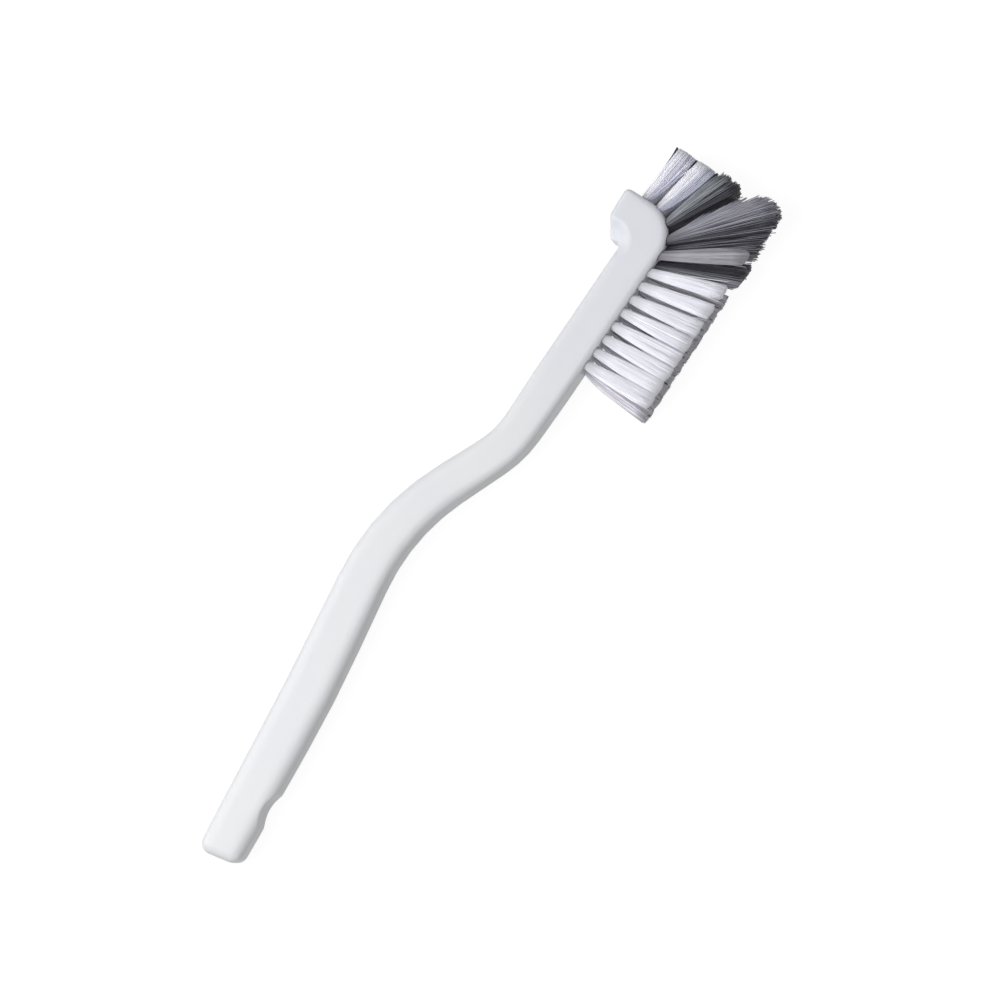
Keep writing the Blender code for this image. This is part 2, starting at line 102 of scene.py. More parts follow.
# Cut ends: dome of the trim, onset of a slant, and shares of an uneven cut
TIP_DOME = 0.018
SLANT_POWER = 3.0
BUNCH_CUT_SHARE = 0.6
SINGLE_CUT_SHARE = 0.4
LONG_SHARE = 0.25

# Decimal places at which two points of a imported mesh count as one
POINT_DIGITS = 7

# Where along a filament the shade painted near its hole ends, and where the darkening of its tip
# begins
ROOT_SHADE_SPAN = (0.14, 0.36)
TIP_SPAN = (0.84, 1.0)

# Streaks of tone: their fineness from filament to filament and along one, and their depth
STREAK_ACROSS = 900.0
STREAK_ALONG = 7.0
STREAK_DEPTH = 0.18

# Where the cut end's colour begins along a filament, and its roughness from light to deep
CUT_END_FROM = 0.985
FILAMENT_ROUGHNESS = (0.34, 0.56)

# Dark filaments that come out from behind a white tuft only near its tip
FRINGE_DYE = "black"
FRINGE_FROM = 0.6
FRINGE_REACH = 1.5
FRINGE_SWELL = 0.65

# Skin of the handle, with its softest corners round the hook's mouth
SKIN_WELD = 0.000001
SKIN_VOXEL = 0.00045
SMOOTH_FACTOR = 0.5
SKIN_SMOOTHING = 6
MOUTH_SMOOTHING = 26
MOUTH_X = 0.0125
MOUTH_Y = 0.0101
MOUTH_RADIUS = 0.0078
MOUTH_FADE = 0.0025

# The moulding's white, which turns a little bluer towards the nose, and its roughness
BODY_WHITES = ((0.706, 0.719, 0.744), (0.728, 0.737, 0.752))
HEAD_WHITES = ((0.694, 0.710, 0.757), (0.708, 0.722, 0.766))
TINT_SPAN = (-0.050, 0.020)
PLASTIC_ROUGHNESS = (0.34, 0.42)

# Mould line by its half width at the top and at the foot, and the height of the grain beside it
MOULD_LINE = (0.00005, 0.00022)
GRAIN_HEIGHT = 0.25

# Anchor wire
WIRE_COLOURS = ((0.55, 0.51, 0.44), (0.66, 0.62, 0.55))
WIRE_ROUGHNESS = (0.28, 0.45)

# The part of a noise's range that holds most of its values
NOISE_RANGE = (0.3, 0.7)
CLOUD_RANGE = (0.35, 0.65)

# Sockets of a colour mix node: its share and two colours, and the result
MIX_INPUTS = (0, 6, 7)
MIX_RESULT = 2

# Light levels, where 1 shows a colour as it is written
KEY_LEVEL = 0.565
FILL_LEVEL = 0.15
EDGE_LEVEL = 0.23
RIM_LEVEL = 0.06
SKY_LEVEL = 0.38
FLOOR_WHITE = 0.90
FLOOR_SHADE = 0.15
FLOOR_BOUNCE = 0.27

# Table top, which lies a little under the brush
TABLE_HALF = 1.6
TABLE_DROP = 0.0001

SEED = 31


# Shader helpers

def new_group(name, inputs, outputs):
    """An empty shader node group with float or colour sockets."""
    group = bpy.data.node_groups.new(name, "ShaderNodeTree")
    for socket, kind, value in inputs:
        made = group.interface.new_socket(socket, in_out="INPUT", socket_type=kind)
        made.default_value = value
    for socket, kind in outputs:
        group.interface.new_socket(socket, in_out="OUTPUT", socket_type=kind)
    entry = group.nodes.new("NodeGroupInput")
    leave = group.nodes.new("NodeGroupOutput")
    return group, entry, leave


def feed(tree, socket, value):
    """Link another socket to a socket, or give it a value of its own."""
    if isinstance(value, bpy.types.NodeSocket):
        tree.links.new(value, socket)
    else:
        socket.default_value = value


def opaque(colour):
    """A colour with full alpha, as a socket takes it."""
    return (*colour, 1.0)


def add_math(tree, operation, first, second=0.0):
    """A math node whose inputs are sockets or numbers."""
    node = tree.nodes.new("ShaderNodeMath")
    node.operation = operation
    for socket, value in zip(node.inputs, (first, second)):
        feed(tree, socket, value)
    return node.outputs[0]


def add_colour_mix(tree, share, first, second):
    """A mix of two colours, given as sockets or as values."""
    node = tree.nodes.new("ShaderNodeMix")
    node.data_type = "RGBA"
    for index, value in zip(MIX_INPUTS, (share, first, second)):
        feed(tree, node.inputs[index], value)
    return node.outputs[MIX_RESULT]


def add_noise(tree, vector, scale, detail=2.0, roughness=0.5):
    """A noise texture read at a vector."""
    node = tree.nodes.new("ShaderNodeTexNoise")
    feed(tree, node.inputs["Scale"], scale)
    node.inputs["Detail"].default_value = detail
    node.inputs["Roughness"].default_value = roughness
    tree.links.new(vector, node.inputs["Vector"])
    return node.outputs["Fac"]


def add_range(tree, value, low, high, to_low=0.0, to_high=1.0):
    """Spread part of a value's range over another range."""
    node = tree.nodes.new("ShaderNodeMapRange")
    node.inputs["From Min"].default_value = low
    node.inputs["From Max"].default_value = high
    node.inputs["To Min"].default_value = to_low
    node.inputs["To Max"].default_value = to_high
    tree.links.new(value, node.inputs["Value"])
    return node.outputs["Result"]


def add_tone_range(tree, value, span, near, far):
    """A tone that goes from near to far over a span of the value, each a socket or a number."""
    share = add_range(tree, value, *span)
    change = add_math(tree, "SUBTRACT", far, near)
    return add_math(tree, "ADD", add_math(tree, "MULTIPLY", share, change), near)


def scale_colour(tree, colour, factor):
    """A colour made darker or lighter by a factor."""
    node = tree.nodes.new("ShaderNodeVectorMath")
    node.operation = "SCALE"
    tree.links.new(colour, node.inputs[0])
    tree.links.new(factor, node.inputs["Scale"])
    return node.outputs[0]


def object_place(tree):
    """The piece's own coordinates."""
    return tree.nodes.new("ShaderNodeTexCoord").outputs["Object"]


def add_bump(tree, height, strength, distance):
    """A bump node's normal for a height."""
    node = tree.nodes.new("ShaderNodeBump")
    node.inputs["Strength"].default_value = strength
    node.inputs["Distance"].default_value = distance
    tree.links.new(height, node.inputs["Height"])
    return node.outputs["Normal"]


def new_material(name):
    """A material with its tree and its Principled shader."""
    material = bpy.data.materials.new(name)
    material.use_nodes = True
    tree = material.node_tree
    return material, tree, tree.nodes["Principled BSDF"]


def place_group(tree, group, **values):
    """Put a node group into a material with its own values."""
    node = tree.nodes.new("ShaderNodeGroup")
    node.node_tree = group
    for name, value in values.items():
        node.inputs[name.replace("_", " ")].default_value = value
    return node


# Effects used by several materials

def mottle_group():
    """Soft clouds and fine grain: a tone mask for colour and a grain height for bump."""
    inputs = (
        ("Cloud Scale", "NodeSocketFloat", 40.0),
        ("Grain Scale", "NodeSocketFloat", 2500.0),
    )
    outputs = (("Cloud", "NodeSocketFloat"), ("Grain", "NodeSocketFloat"))
    group, entry, leave = new_group("mottle", inputs, outputs)
    place = object_place(group)
    cloud = add_noise(group, place, entry.outputs["Cloud Scale"], detail=3.0)
    grain = add_noise(group, place, entry.outputs["Grain Scale"], detail=4.0, roughness=0.65)
    group.links.new(cloud, leave.inputs["Cloud"])
    group.links.new(grain, leave.inputs["Grain"])
    return group


def filament_group():
    """Colour and roughness of one filament, by its own random shade value and by how far along it
    is, with shade painted near its hole.
    """
    inputs = (
        ("Light", "NodeSocketColor", (0.9, 0.9, 0.9, 1.0)),
        ("Deep", "NodeSocketColor", (0.5, 0.5, 0.5, 1.0)),
        ("Cut End", "NodeSocketColor", (1.0, 1.0, 1.0, 1.0)),
        ("Root Tone", "NodeSocketFloat", 0.6),
        ("Tip Tone", "NodeSocketFloat", 1.0),
    )
    outputs = (
        ("Color", "NodeSocketColor"),
        ("Roughness", "NodeSocketFloat"),
        ("Height", "NodeSocketFloat"),
    )
    group, entry, leave = new_group("filament_tone", inputs, outputs)
    shade = group.nodes.new("ShaderNodeAttribute")
    shade.attribute_name = "shade"
    reach = group.nodes.new("ShaderNodeAttribute")
    reach.attribute_name = "reach"
    own_place = group.nodes.new("ShaderNodeCombineXYZ")
    across = add_math(group, "MULTIPLY", shade.outputs["Fac"], STREAK_ACROSS)
    along = add_math(group, "MULTIPLY", reach.outputs["Fac"], STREAK_ALONG)
    group.links.new(across, own_place.inputs["X"])
    group.links.new(along, own_place.inputs["Y"])
    streak = add_noise(group, own_place.outputs[0], scale=1.0)
    change = add_range(group, streak, *NOISE_RANGE, -STREAK_DEPTH, STREAK_DEPTH)
    tone = add_math(group, "ADD", shade.outputs["Fac"], change)
    body = add_colour_mix(group, tone, entry.outputs["Light"], entry.outputs["Deep"])
    end = add_range(group, reach.outputs["Fac"], CUT_END_FROM, 1.0)
    colour = add_colour_mix(group, end, body, entry.outputs["Cut End"])
    darkening_spans = (
        (ROOT_SHADE_SPAN, entry.outputs["Root Tone"], 1.0),
        (TIP_SPAN, 1.0, entry.outputs["Tip Tone"]),
    )
    # Shade painted near the hole, then the darkening of the tip
    for span, near, far in darkening_spans:
        darkening = add_tone_range(group, reach.outputs["Fac"], span, near, far)
        colour = scale_colour(group, colour, darkening)
    group.links.new(colour, leave.inputs["Color"])
    roughness = add_range(group, tone, 0.0, 1.0, *FILAMENT_ROUGHNESS)
    group.links.new(roughness, leave.inputs["Roughness"])
    group.links.new(streak, leave.inputs["Height"])
    return group


# Materials

class Dye(NamedTuple):
    """Colours of one kind of filament, and what is left of them near its hole, where shade is
    painted, and at its tip.
    """

    light: tuple
    deep: tuple
    cut_end: tuple
    painted_root_shade: float = 1.0
    tip_tone: float = 1.0


# Each root tone darkens a filament near its hole as painted shade
DYES = {
    "white": Dye((0.95, 0.95, 0.99), (0.86, 0.86, 0.94), (0.93, 0.93, 0.96), painted_root_shade=0.7),
    # The rear row's white, with shade painted at its tips where the front row shades them
    "tip_shaded_white": Dye((0.97, 0.95, 1.00), (0.70, 0.68, 0.78), (0.90, 0.88, 0.95), tip_tone=0.62),
    # White filament in painted shade, lilac-grey, for the shaded half of the white fan tufts
    "white_in_painted_shade": Dye((0.68, 0.69, 0.81), (0.50, 0.51, 0.63), (0.68, 0.69, 0.79), painted_root_shade=0.9),
    "pale": Dye((0.46, 0.45, 0.49), (0.30, 0.29, 0.32), (0.50, 0.49, 0.52), painted_root_shade=0.6),
    "ash": Dye((0.46, 0.46, 0.53), (0.27, 0.26, 0.31), (0.46, 0.45, 0.51), painted_root_shade=0.42),
    "grey": Dye((0.34, 0.33, 0.38), (0.15, 0.15, 0.18), (0.36, 0.35, 0.39), painted_root_shade=0.6),
    "moss": Dye((0.40, 0.42, 0.46), (0.18, 0.195, 0.21), (0.27, 0.30, 0.29),
                painted_root_shade=0.95, tip_tone=0.7),
    "black": Dye((0.044, 0.043, 0.058), (0.014, 0.014, 0.020), (0.08, 0.08, 0.09)),
}


def white_plastic(mottle):
    """Satin moulded polypropylene: white, bluer at the head, with a mould line round its middle."""
    material, tree, shader = new_material("satin_white_polypropylene")
    effect = place_group(tree, mottle, Cloud_Scale=38.0, Grain_Scale=2600.0)
    cloud = add_range(tree, effect.outputs["Cloud"], *CLOUD_RANGE)
    body = add_colour_mix(tree, cloud, *map(opaque, BODY_WHITES))
    head = add_colour_mix(tree, cloud, *map(opaque, HEAD_WHITES))
    tree.links.new(add_range(tree, cloud, 0.0, 1.0, *PLASTIC_ROUGHNESS), shader.inputs["Roughness"])
    split = tree.nodes.new("ShaderNodeSeparateXYZ")
    tree.links.new(object_place(tree), split.inputs[0])
    towards_nose = add_range(tree, split.outputs["X"], *TINT_SPAN)
    tree.links.new(add_colour_mix(tree, towards_nose, body, head), shader.inputs["Base Color"])
    above_middle = add_math(tree, "SUBTRACT", split.outputs["Z"], MID_HEIGHT)
    off_middle = add_math(tree, "ABSOLUTE", above_middle)
    mould_line = add_range(tree, off_middle, *MOULD_LINE, 1.0, 0.0)
    grain = add_math(tree, "MULTIPLY", effect.outputs["Grain"], GRAIN_HEIGHT)
    height = add_math(tree, "ADD", grain, mould_line)
    tree.links.new(add_bump(tree, height, strength=0.25, distance=0.00006), shader.inputs["Normal"])
    shader.inputs["IOR"].default_value = 1.49
    shader.inputs["Specular IOR Level"].default_value = 0.36
    shader.inputs["Subsurface Weight"].default_value = 0.2
    shader.inputs["Subsurface Radius"].default_value = (1.0, 0.9, 0.8)
    shader.inputs["Subsurface Scale"].default_value = 0.0020
    return material


def filament_material(name, tone_group, dye):
    """Drawn nylon filament of one dye, darker near its hole where shade is painted, and darker at
    its tip.
    """
    material, tree, shader = new_material(name)
    effect = place_group(
        tree,
        tone_group,
        Light=opaque(dye.light),
        Deep=opaque(dye.deep),
        Cut_End=opaque(dye.cut_end),
        Root_Tone=dye.painted_root_shade,
        Tip_Tone=dye.tip_tone,
    )
    tree.links.new(effect.outputs["Color"], shader.inputs["Base Color"])
    tree.links.new(effect.outputs["Roughness"], shader.inputs["Roughness"])
    normal = add_bump(tree, effect.outputs["Height"], strength=0.12, distance=0.00003)
    tree.links.new(normal, shader.inputs["Normal"])
    shader.inputs["IOR"].default_value = 1.53
    return material


def anchor_metal(mottle):
    """Flat drawn wire, dull and faintly yellow."""
    material, tree, shader = new_material("drawn_anchor_wire")
    effect = place_group(tree, mottle, Cloud_Scale=300.0, Grain_Scale=5000.0)
    colour = add_colour_mix(tree, effect.outputs["Cloud"], *map(opaque, WIRE_COLOURS))
    tree.links.new(colour, shader.inputs["Base Color"])
    roughness = add_range(tree, effect.outputs["Grain"], *NOISE_RANGE, *WIRE_ROUGHNESS)
    tree.links.new(roughness, shader.inputs["Roughness"])
    normal = add_bump(tree, effect.outputs["Grain"], strength=0.2, distance=0.00003)
    tree.links.new(normal, shader.inputs["Normal"])
    shader.inputs["Metallic"].default_value = 1.0
    return material


def make_materials():
    """Every finish of the brush by name."""
    mottle = mottle_group()
    tone = filament_group()
    made = {}
    for name, dye in DYES.items():
        made[name] = filament_material(name + "_nylon_filament", tone, dye)
    made["plastic"] = white_plastic(mottle)
    made["wire"] = anchor_metal(mottle)
    return made


# Handle

def settle(piece):
    """Turn a piece's modifiers into its own mesh."""
    bpy.context.view_layer.update()
    evaluated = piece.evaluated_get(bpy.context.evaluated_depsgraph_get())
    mesh = bpy.data.meshes.new_from_object(evaluated)
    piece.modifiers.clear()
    piece.data = mesh
    return mesh


def grow_skin(solid, material):
    """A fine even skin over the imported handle, with its edges softened as moulding leaves them."""
    skin = bpy.data.objects.new("handle_moulding", solid.data.copy())
    bpy.context.scene.collection.objects.link(skin)
    skin.modifiers.new("close_seams", "WELD").merge_threshold = SKIN_WELD
    remesh = skin.modifiers.new("even_faces", "REMESH")
    remesh.mode = "VOXEL"
    remesh.voxel_size = SKIN_VOXEL
    remesh.use_smooth_shade = True
    soften = skin.modifiers.new("soft_edges", "SMOOTH")
    soften.iterations = SKIN_SMOOTHING
    soften.factor = SMOOTH_FACTOR
    mesh = settle(skin)
    mouth = skin.vertex_groups.new(name="hook_mouth")
    for vertex in mesh.vertices:
        off = math.hypot(vertex.co.x - MOUTH_X, vertex.co.y - MOUTH_Y)
        mouth.add([vertex.index], min(1.0, max(0.0, (MOUTH_RADIUS - off) / MOUTH_FADE)), "REPLACE")
    rounding = skin.modifiers.new("round_mouth", "SMOOTH")
    rounding.iterations = MOUTH_SMOOTHING
    rounding.factor = SMOOTH_FACTOR
    rounding.vertex_group = "hook_mouth"
    mesh = settle(skin)
    mesh.shade_smooth()
    mesh.materials.clear()
    mesh.materials.append(material)
    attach(skin, "root")
    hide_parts("handle")
    return skin


# Tufts

class Spread(NamedTuple):
    """How the filaments of one kind of tuft part from each other.

    The flare is their widening to each side in degrees. A swell of 1 opens the tuft evenly,
    and a higher one opens it sooner above its hole. Clumping pulls them together in bunches
    of slightly different lengths, ragged is by how much cut ends differ, and bend is how far
    tips drift aside.
    """

    flare: float
    swell: float
    clumping: float
    ragged: float
    bend: float


class Tuft(NamedTuple):
    """What sets one tuft apart from the others.

    The dyes are laid out across the tuft from the butt's side to the nose's, each with its
    share, and mixing blurs the borders between them. Some of them are white with painted shade.
    Slant is how much shorter the cut gets towards the nose, or where it is negative towards
    the butt. Droop is how many degrees the tuft has sagged towards the butt, or where it is negative
    how many it leans to the nose.
    Fringe is the share of dark filaments among the hidden ones at the tuft's two sides.
    """

    label: str
    slot: str
    spread: Spread
    extra: float
    dyes: tuple
    mixing: float
    slant: float = 0.0
    droop: float = 0.0
    fringe: float = 0.0


STRAIGHT_FRONT = Spread(flare=3.0, swell=2.2, clumping=0.06, ragged=0.0008, bend=0.00014)
STRAIGHT_REAR = Spread(flare=3.6, swell=5.0, clumping=0.08, ragged=0.0014, bend=0.00016)
NARROW_FAN = Spread(flare=2.7, swell=1.6, clumping=0.12, ragged=0.0006, bend=0.00016)
WIDE_FAN = Spread(flare=9.0, swell=1.1, clumping=0.30, ragged=0.0036, bend=0.00060)
DARK_FAN = Spread(flare=5.6, swell=1.7, clumping=0.30, ragged=0.0022, bend=0.00045)
SLIM_DARK_FAN = Spread(flare=3.4, swell=1.7, clumping=0.25, ragged=0.0012, bend=0.00030)
WHITE_FAN = Spread(flare=5.4, swell=2.2, clumping=0.05, ragged=0.0006, bend=0.00012)

ALL_WHITE = (("white", 1.0),)
SHADED_WHITE = (("tip_shaded_white", 0.86), ("pale", 0.03), ("grey", 0.04), ("black", 0.07))
# White fan tufts with painted shade on their butt's side, the second one mostly shade
PAINTED_SHADE_TO_WHITE = (("white_in_painted_shade", 0.38), ("white", 0.62))
MOSTLY_PAINTED_SHADE = (("white_in_painted_shade", 0.62), ("white", 0.38))
LIGHT_GREY = (("pale", 0.92), ("grey", 0.08))
BLACK_TO_ASH = (("black", 0.36), ("grey", 0.24), ("ash", 0.40))
BLACK_TO_MOSS = (("black", 0.42), ("moss", 0.42), ("ash", 0.16))
ASH_TO_BLACK = (("ash", 0.20), ("grey", 0.24), ("black", 0.56))
DARK_MIX = (("grey", 0.40), ("black", 0.60))
ALL_BLACK = (("black", 0.92), ("moss", 0.08))


def straight_tufts():
    """The tufts along the straight part of the head, two by two from the butt's end."""
    tufts = []
    for index in range(STRAIGHT_TUFTS):
        label = f"{index + 1:02d}"
        share = (index / (STRAIGHT_TUFTS - 1)) ** FLARE_POWER
        front = STRAIGHT_FRONT._replace(flare=STRAIGHT_FRONT.flare + FRONT_FLARE_GAIN * share)
        rear = STRAIGHT_REAR._replace(flare=STRAIGHT_REAR.flare + REAR_FLARE_GAIN * share)
        tufts += [
            Tuft("front_" + label, "white_bristle", front, 0.0, ALL_WHITE, mixing=0.5),
            Tuft("rear_" + label, "white_bristle", rear, REAR_EXTRA, SHADED_WHITE, mixing=0.5),
        ]
    return tufts


def fan_tufts():
    """The tufts round the nose: the front row, the rear row and the dark ones between them."""
    front = [FAN_EXTRA * share for share in FRONT_FAN_SHARES]
    rear = [FAN_EXTRA * share for share in REAR_FAN_SHARES]
    centre = [FAN_EXTRA * share for share in CENTRE_SHARES]
    front[1] += WIDEST_TUFT_EXTRA
    return [
        Tuft("front_09", "grey_bristle", NARROW_FAN, front[0], LIGHT_GREY,
             mixing=0.5, slant=0.0090),
        Tuft("front_10", "grey_bristle", WIDE_FAN, front[1], BLACK_TO_ASH,
             mixing=0.26, slant=0.0190),
        Tuft("front_11", "dark_bristle", DARK_FAN, front[2], BLACK_TO_MOSS,
             mixing=0.32, slant=0.0022, droop=-2.0),
        Tuft("front_12", "white_bristle", WHITE_FAN, front[3], PAINTED_SHADE_TO_WHITE,
             mixing=0.16, droop=3.0, fringe=0.7),
        Tuft("front_13", "white_bristle", WHITE_FAN, front[4], PAINTED_SHADE_TO_WHITE,
             mixing=0.30, droop=3.5, fringe=0.7),
        Tuft("rear_09", "dark_bristle", SLIM_DARK_FAN, rear[0], DARK_MIX,
             mixing=0.5, slant=-0.0008, droop=1.0),
        Tuft("rear_10", "dark_bristle", DARK_FAN, rear[1], DARK_MIX,
             mixing=0.5),
        Tuft("rear_11", "dark_bristle", SLIM_DARK_FAN, rear[2], BLACK_TO_MOSS,
             mixing=0.3, slant=-0.0090, droop=-2.5),
        Tuft("rear_12", "white_bristle", WHITE_FAN, rear[3], MOSTLY_PAINTED_SHADE,
             mixing=0.14, droop=3.0),
        Tuft("rear_13", "white_bristle", WHITE_FAN, rear[4], PAINTED_SHADE_TO_WHITE,
             mixing=0.12, droop=3.0),
        Tuft("centre_01", "dark_bristle", SLIM_DARK_FAN, centre[0], ASH_TO_BLACK,
             mixing=0.10, slant=-0.0010),
        Tuft("centre_02", "dark_bristle", WIDE_FAN, centre[1], DARK_MIX,
             mixing=0.5, droop=1.0),
        Tuft("centre_03", "dark_bristle", DARK_FAN, centre[2], ALL_BLACK,
             mixing=0.5, slant=-0.0050),
    ]


def node_points(name):
    """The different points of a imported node's mesh."""
    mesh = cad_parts[name].data
    points = np.empty(len(mesh.vertices) * 3)
    mesh.vertices.foreach_get("co", points)
    return np.unique(points.reshape(-1, 3).round(POINT_DIGITS), axis=0)


def tuft_seat(label):
    """Matrix at the hole's mouth, its Z axis along the tuft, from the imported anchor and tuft."""
    corners = node_points("anchor_" + label)
    bundle = node_points("tuft_" + label)
    middle = corners.mean(axis=0)
    length_axis, height_axis, _ = np.linalg.svd(corners - middle)[2]
    outward = Vector(height_axis * np.sign((bundle.mean(axis=0) - middle) @ height_axis))
    upward = Vector(length_axis * np.sign(length_axis[2]))
    sideways = upward.cross(outward)
    base = ((bundle - middle) @ np.array(outward)).min()
    seat = Matrix((sideways, upward, outward)).transposed().to_4x4()
    seat.translation = Vector(middle) + outward * (base + SLUG_DEPTH)
    return seat


def trimmed_length(start, way, extra):
    """Length of a filament up to the trim, flat on two sides and rounded between them."""
    slope = math.tan(math.radians(TRIM_SLOPE))
    trim_at_nose = BRISTLE_FACE - BRISTLE_LENGTH - extra
    bristle_trim = trim_at_nose + (start.x - DATUM_TO_NOSE) * slope
    nose_trim = DATUM_TO_NOSE + NOSE_REACH + extra
    towards_trim = way.y - way.x * slope
    inverse = 0.0
    if towards_trim < 0.0:
        inverse += (towards_trim / (bristle_trim - start.y)) ** TRIM_CORNER_POWER
    if way.x > 0.0:
        inverse += (way.x / (nose_trim - start.x)) ** TRIM_CORNER_POWER
    return inverse ** (-1 / TRIM_CORNER_POWER)


def disc_spread(count, chance):
    """Evenly spread points in the unit disc, slightly shaken."""
    places = []
    for index in range(count):
        radius = math.sqrt((index + 0.5) / count)
        angle = math.radians(GOLDEN_ANGLE * index) + chance.uniform(-PLACE_SHAKE, PLACE_SHAKE)
        places.append(Vector((radius * math.cos(angle), radius * math.sin(angle), 0.0)))
    return places


def spread_evenly(across):
    """Shift a point of the disc sideways, so that all of them lie evenly across the tuft."""
    return (across * math.sqrt(1.0 - across**2) + math.asin(across)) * 2 / math.pi


def is_fringe(tuft, place, chance):
    """Whether a filament is one of the hidden dark ones at the tuft's two sides."""
    hidden = place.y < 0.0 and abs(place.x) > FRINGE_FROM
    return hidden and chance.random() < tuft.fringe


def filament_path(place, clump, clump_cut, seat, tuft, fringe, chance):
    """Centreline of one filament in the tuft's own axes, from inside the hole to the cut end."""
    aim = place.lerp(clump, tuft.spread.clumping)
    aim.x = spread_evenly(aim.x)
    swell = tuft.spread.swell
    if fringe:
        aim.x = math.copysign(FRINGE_REACH, place.x)
        swell = FRINGE_SWELL
    slopes = (math.tan(math.radians(tuft.spread.flare)), math.tan(math.radians(ROW_FLARE)))
    root = place * BUNDLE_RADIUS
    sag = math.tan(math.radians(tuft.droop))
    way = Vector((aim.x * slopes[0] - sag, aim.y * slopes[1], 1.0)).normalized()
    length = trimmed_length(seat @ root, seat.to_3x3() @ way, tuft.extra)
    length *= 1.0 - TIP_DOME * place.length_squared
    cut = BUNCH_CUT_SHARE * clump_cut + SINGLE_CUT_SHARE * chance.random() ** 2
    length -= (cut - LONG_SHARE) * tuft.spread.ragged
    short_side = max(0.0, math.copysign(1.0, tuft.slant) * place.x)
    length -= abs(tuft.slant) * short_side**SLANT_POWER
    bend = STRAY_BEND if chance.random() < STRAY_SHARE else tuft.spread.bend
    drift = Vector((chance.gauss(0.0, bend), chance.gauss(0.0, bend) * UPRIGHT_BEND, 0.0))
    points = [root - Vector((0.0, 0.0, ROOT_DEPTH))]
    for step in range(FILAMENT_STEPS + 1):
        share = step / FILAMENT_STEPS
        opened = 1.0 - (1.0 - share) ** swell
        along = way * length * share
        along.xy = way.xy * length * opened
        points.append(root + along + drift * share**2)
    return points


def add_tube(points, radius, vertices, faces):
    """Add one filament's rings, sides and cut end to the lists. Returns how many faces it took."""
    first = len(vertices)
    for point in points:
        for side in range(FILAMENT_SIDES):
            angle = math.tau * side / FILAMENT_SIDES
            vertices.append(point + Vector((math.cos(angle), math.sin(angle), 0.0)) * radius)
    before = len(faces)
    for ring in range(len(points) - 1):
        for side in range(FILAMENT_SIDES):
            after = (side + 1) % FILAMENT_SIDES
            low = first + ring * FILAMENT_SIDES
            high = low + FILAMENT_SIDES
            faces.append((low + side, low + after, high + after, high + side))
    faces.append([first + side for side in reversed(range(FILAMENT_SIDES))])
    last = first + (len(points) - 1) * FILAMENT_SIDES
    faces.append([last + side for side in range(FILAMENT_SIDES)])
    return len(faces) - before


def pick_dye(tuft, place, chance):
    """The dye of one filament, by its place across the tuft."""
    # A spot past the tuft's side is folded back into it
    spot = abs((place.x + 1.0) / 2 + chance.gauss(0.0, tuft.mixing))
    left = 1.0 - abs(1.0 - spot % 2.0)
    for dye, share in tuft.dyes:
        left -= share
        if left <= 0.0:
            return dye
    return tuft.dyes[-1][0]


def filament_mesh(tuft, seat, materials, chance):
    """All the filaments of one tuft as one mesh, with a shade for each of them."""
    clumps = disc_spread(CLUMPS, chance)
    clump_cuts = [chance.random() ** 2 for _ in clumps]
    names = [dye for dye, _ in tuft.dyes] + [FRINGE_DYE]
    vertices, faces, shades, reaches, slots = [], [], [], [], []
    for place in disc_spread(FILAMENTS, chance):
        nearest = min(range(CLUMPS), key=lambda index: (clumps[index] - place).length)
        fringe = is_fringe(tuft, place, chance)
        points = filament_path(
            place, clumps[nearest], clump_cuts[nearest], seat, tuft, fringe, chance
        )
        radius = FILAMENT_RADIUS * chance.uniform(*RADIUS_RANGE)
        taken = add_tube(points, radius, vertices, faces)
        dye = FRINGE_DYE if fringe else pick_dye(tuft, place, chance)
        slots += [names.index(dye)] * taken
        shades += [chance.random()] * (len(points) * FILAMENT_SIDES)
        for ring in range(len(points)):
            reaches += [ring / (len(points) - 1)] * FILAMENT_SIDES
    mesh = bpy.data.meshes.new("filaments_" + tuft.label)
    mesh.from_pydata([seat @ vertex for vertex in vertices], [], faces)
    for dye in names:
        mesh.materials.append(materials[dye])
    mesh.polygons.foreach_set("material_index", slots)
    mesh.attributes.new("shade", "FLOAT", "POINT").data.foreach_set("value", shades)
    mesh.attributes.new("reach", "FLOAT", "POINT").data.foreach_set("value", reaches)
    mesh.shade_smooth()
    for polygon in mesh.polygons:
        polygon.use_smooth = len(polygon.vertices) != FILAMENT_SIDES
    return mesh


def make_tufts(materials):
    """Replace each imported tuft with its filaments."""
    chance = random.Random(SEED)
    for tuft in straight_tufts() + fan_tufts():
        mesh = filament_mesh(tuft, tuft_seat(tuft.label), materials, chance)
        piece = bpy.data.objects.new("filaments_" + tuft.label, mesh)
        bpy.context.scene.collection.objects.link(piece)
        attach(piece, "root")
        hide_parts("tuft_" + tuft.label)


def finish_anchors(material):
    """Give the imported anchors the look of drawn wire."""
    for name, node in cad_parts.items():
        if name.startswith("anchor_"):
            for slot in node.material_slots:
                slot.material = material


# Room, light and camera

def seen_directly(tree):
    """1 for rays that show the background itself, straight or in gloss and glass."""
    path = tree.nodes.new("ShaderNodeLightPath")
    glossy = add_math(tree, "MAXIMUM", path.outputs["Is Camera Ray"], path.outputs["Is Glossy Ray"])
    return add_math(tree, "MAXIMUM", glossy, path.outputs["Is Transmission Ray"])


def grey(level):
    """An even grey of a level, white at 1."""
    return opaque((level, level, level))


def make_sky():
    """An even pale sky that shows white behind the brush."""
    world = bpy.data.worlds.new("studio_sky")
    world.use_nodes = True
    tree = world.node_tree
    background = tree.nodes["Background"]
    background.inputs["Color"].default_value = grey(1.0)
    strength = add_range(tree, seen_directly(tree), 0.0, 1.0, SKY_LEVEL, 1.0)
    tree.links.new(strength, background.inputs["Strength"])
    bpy.context.scene.world = world


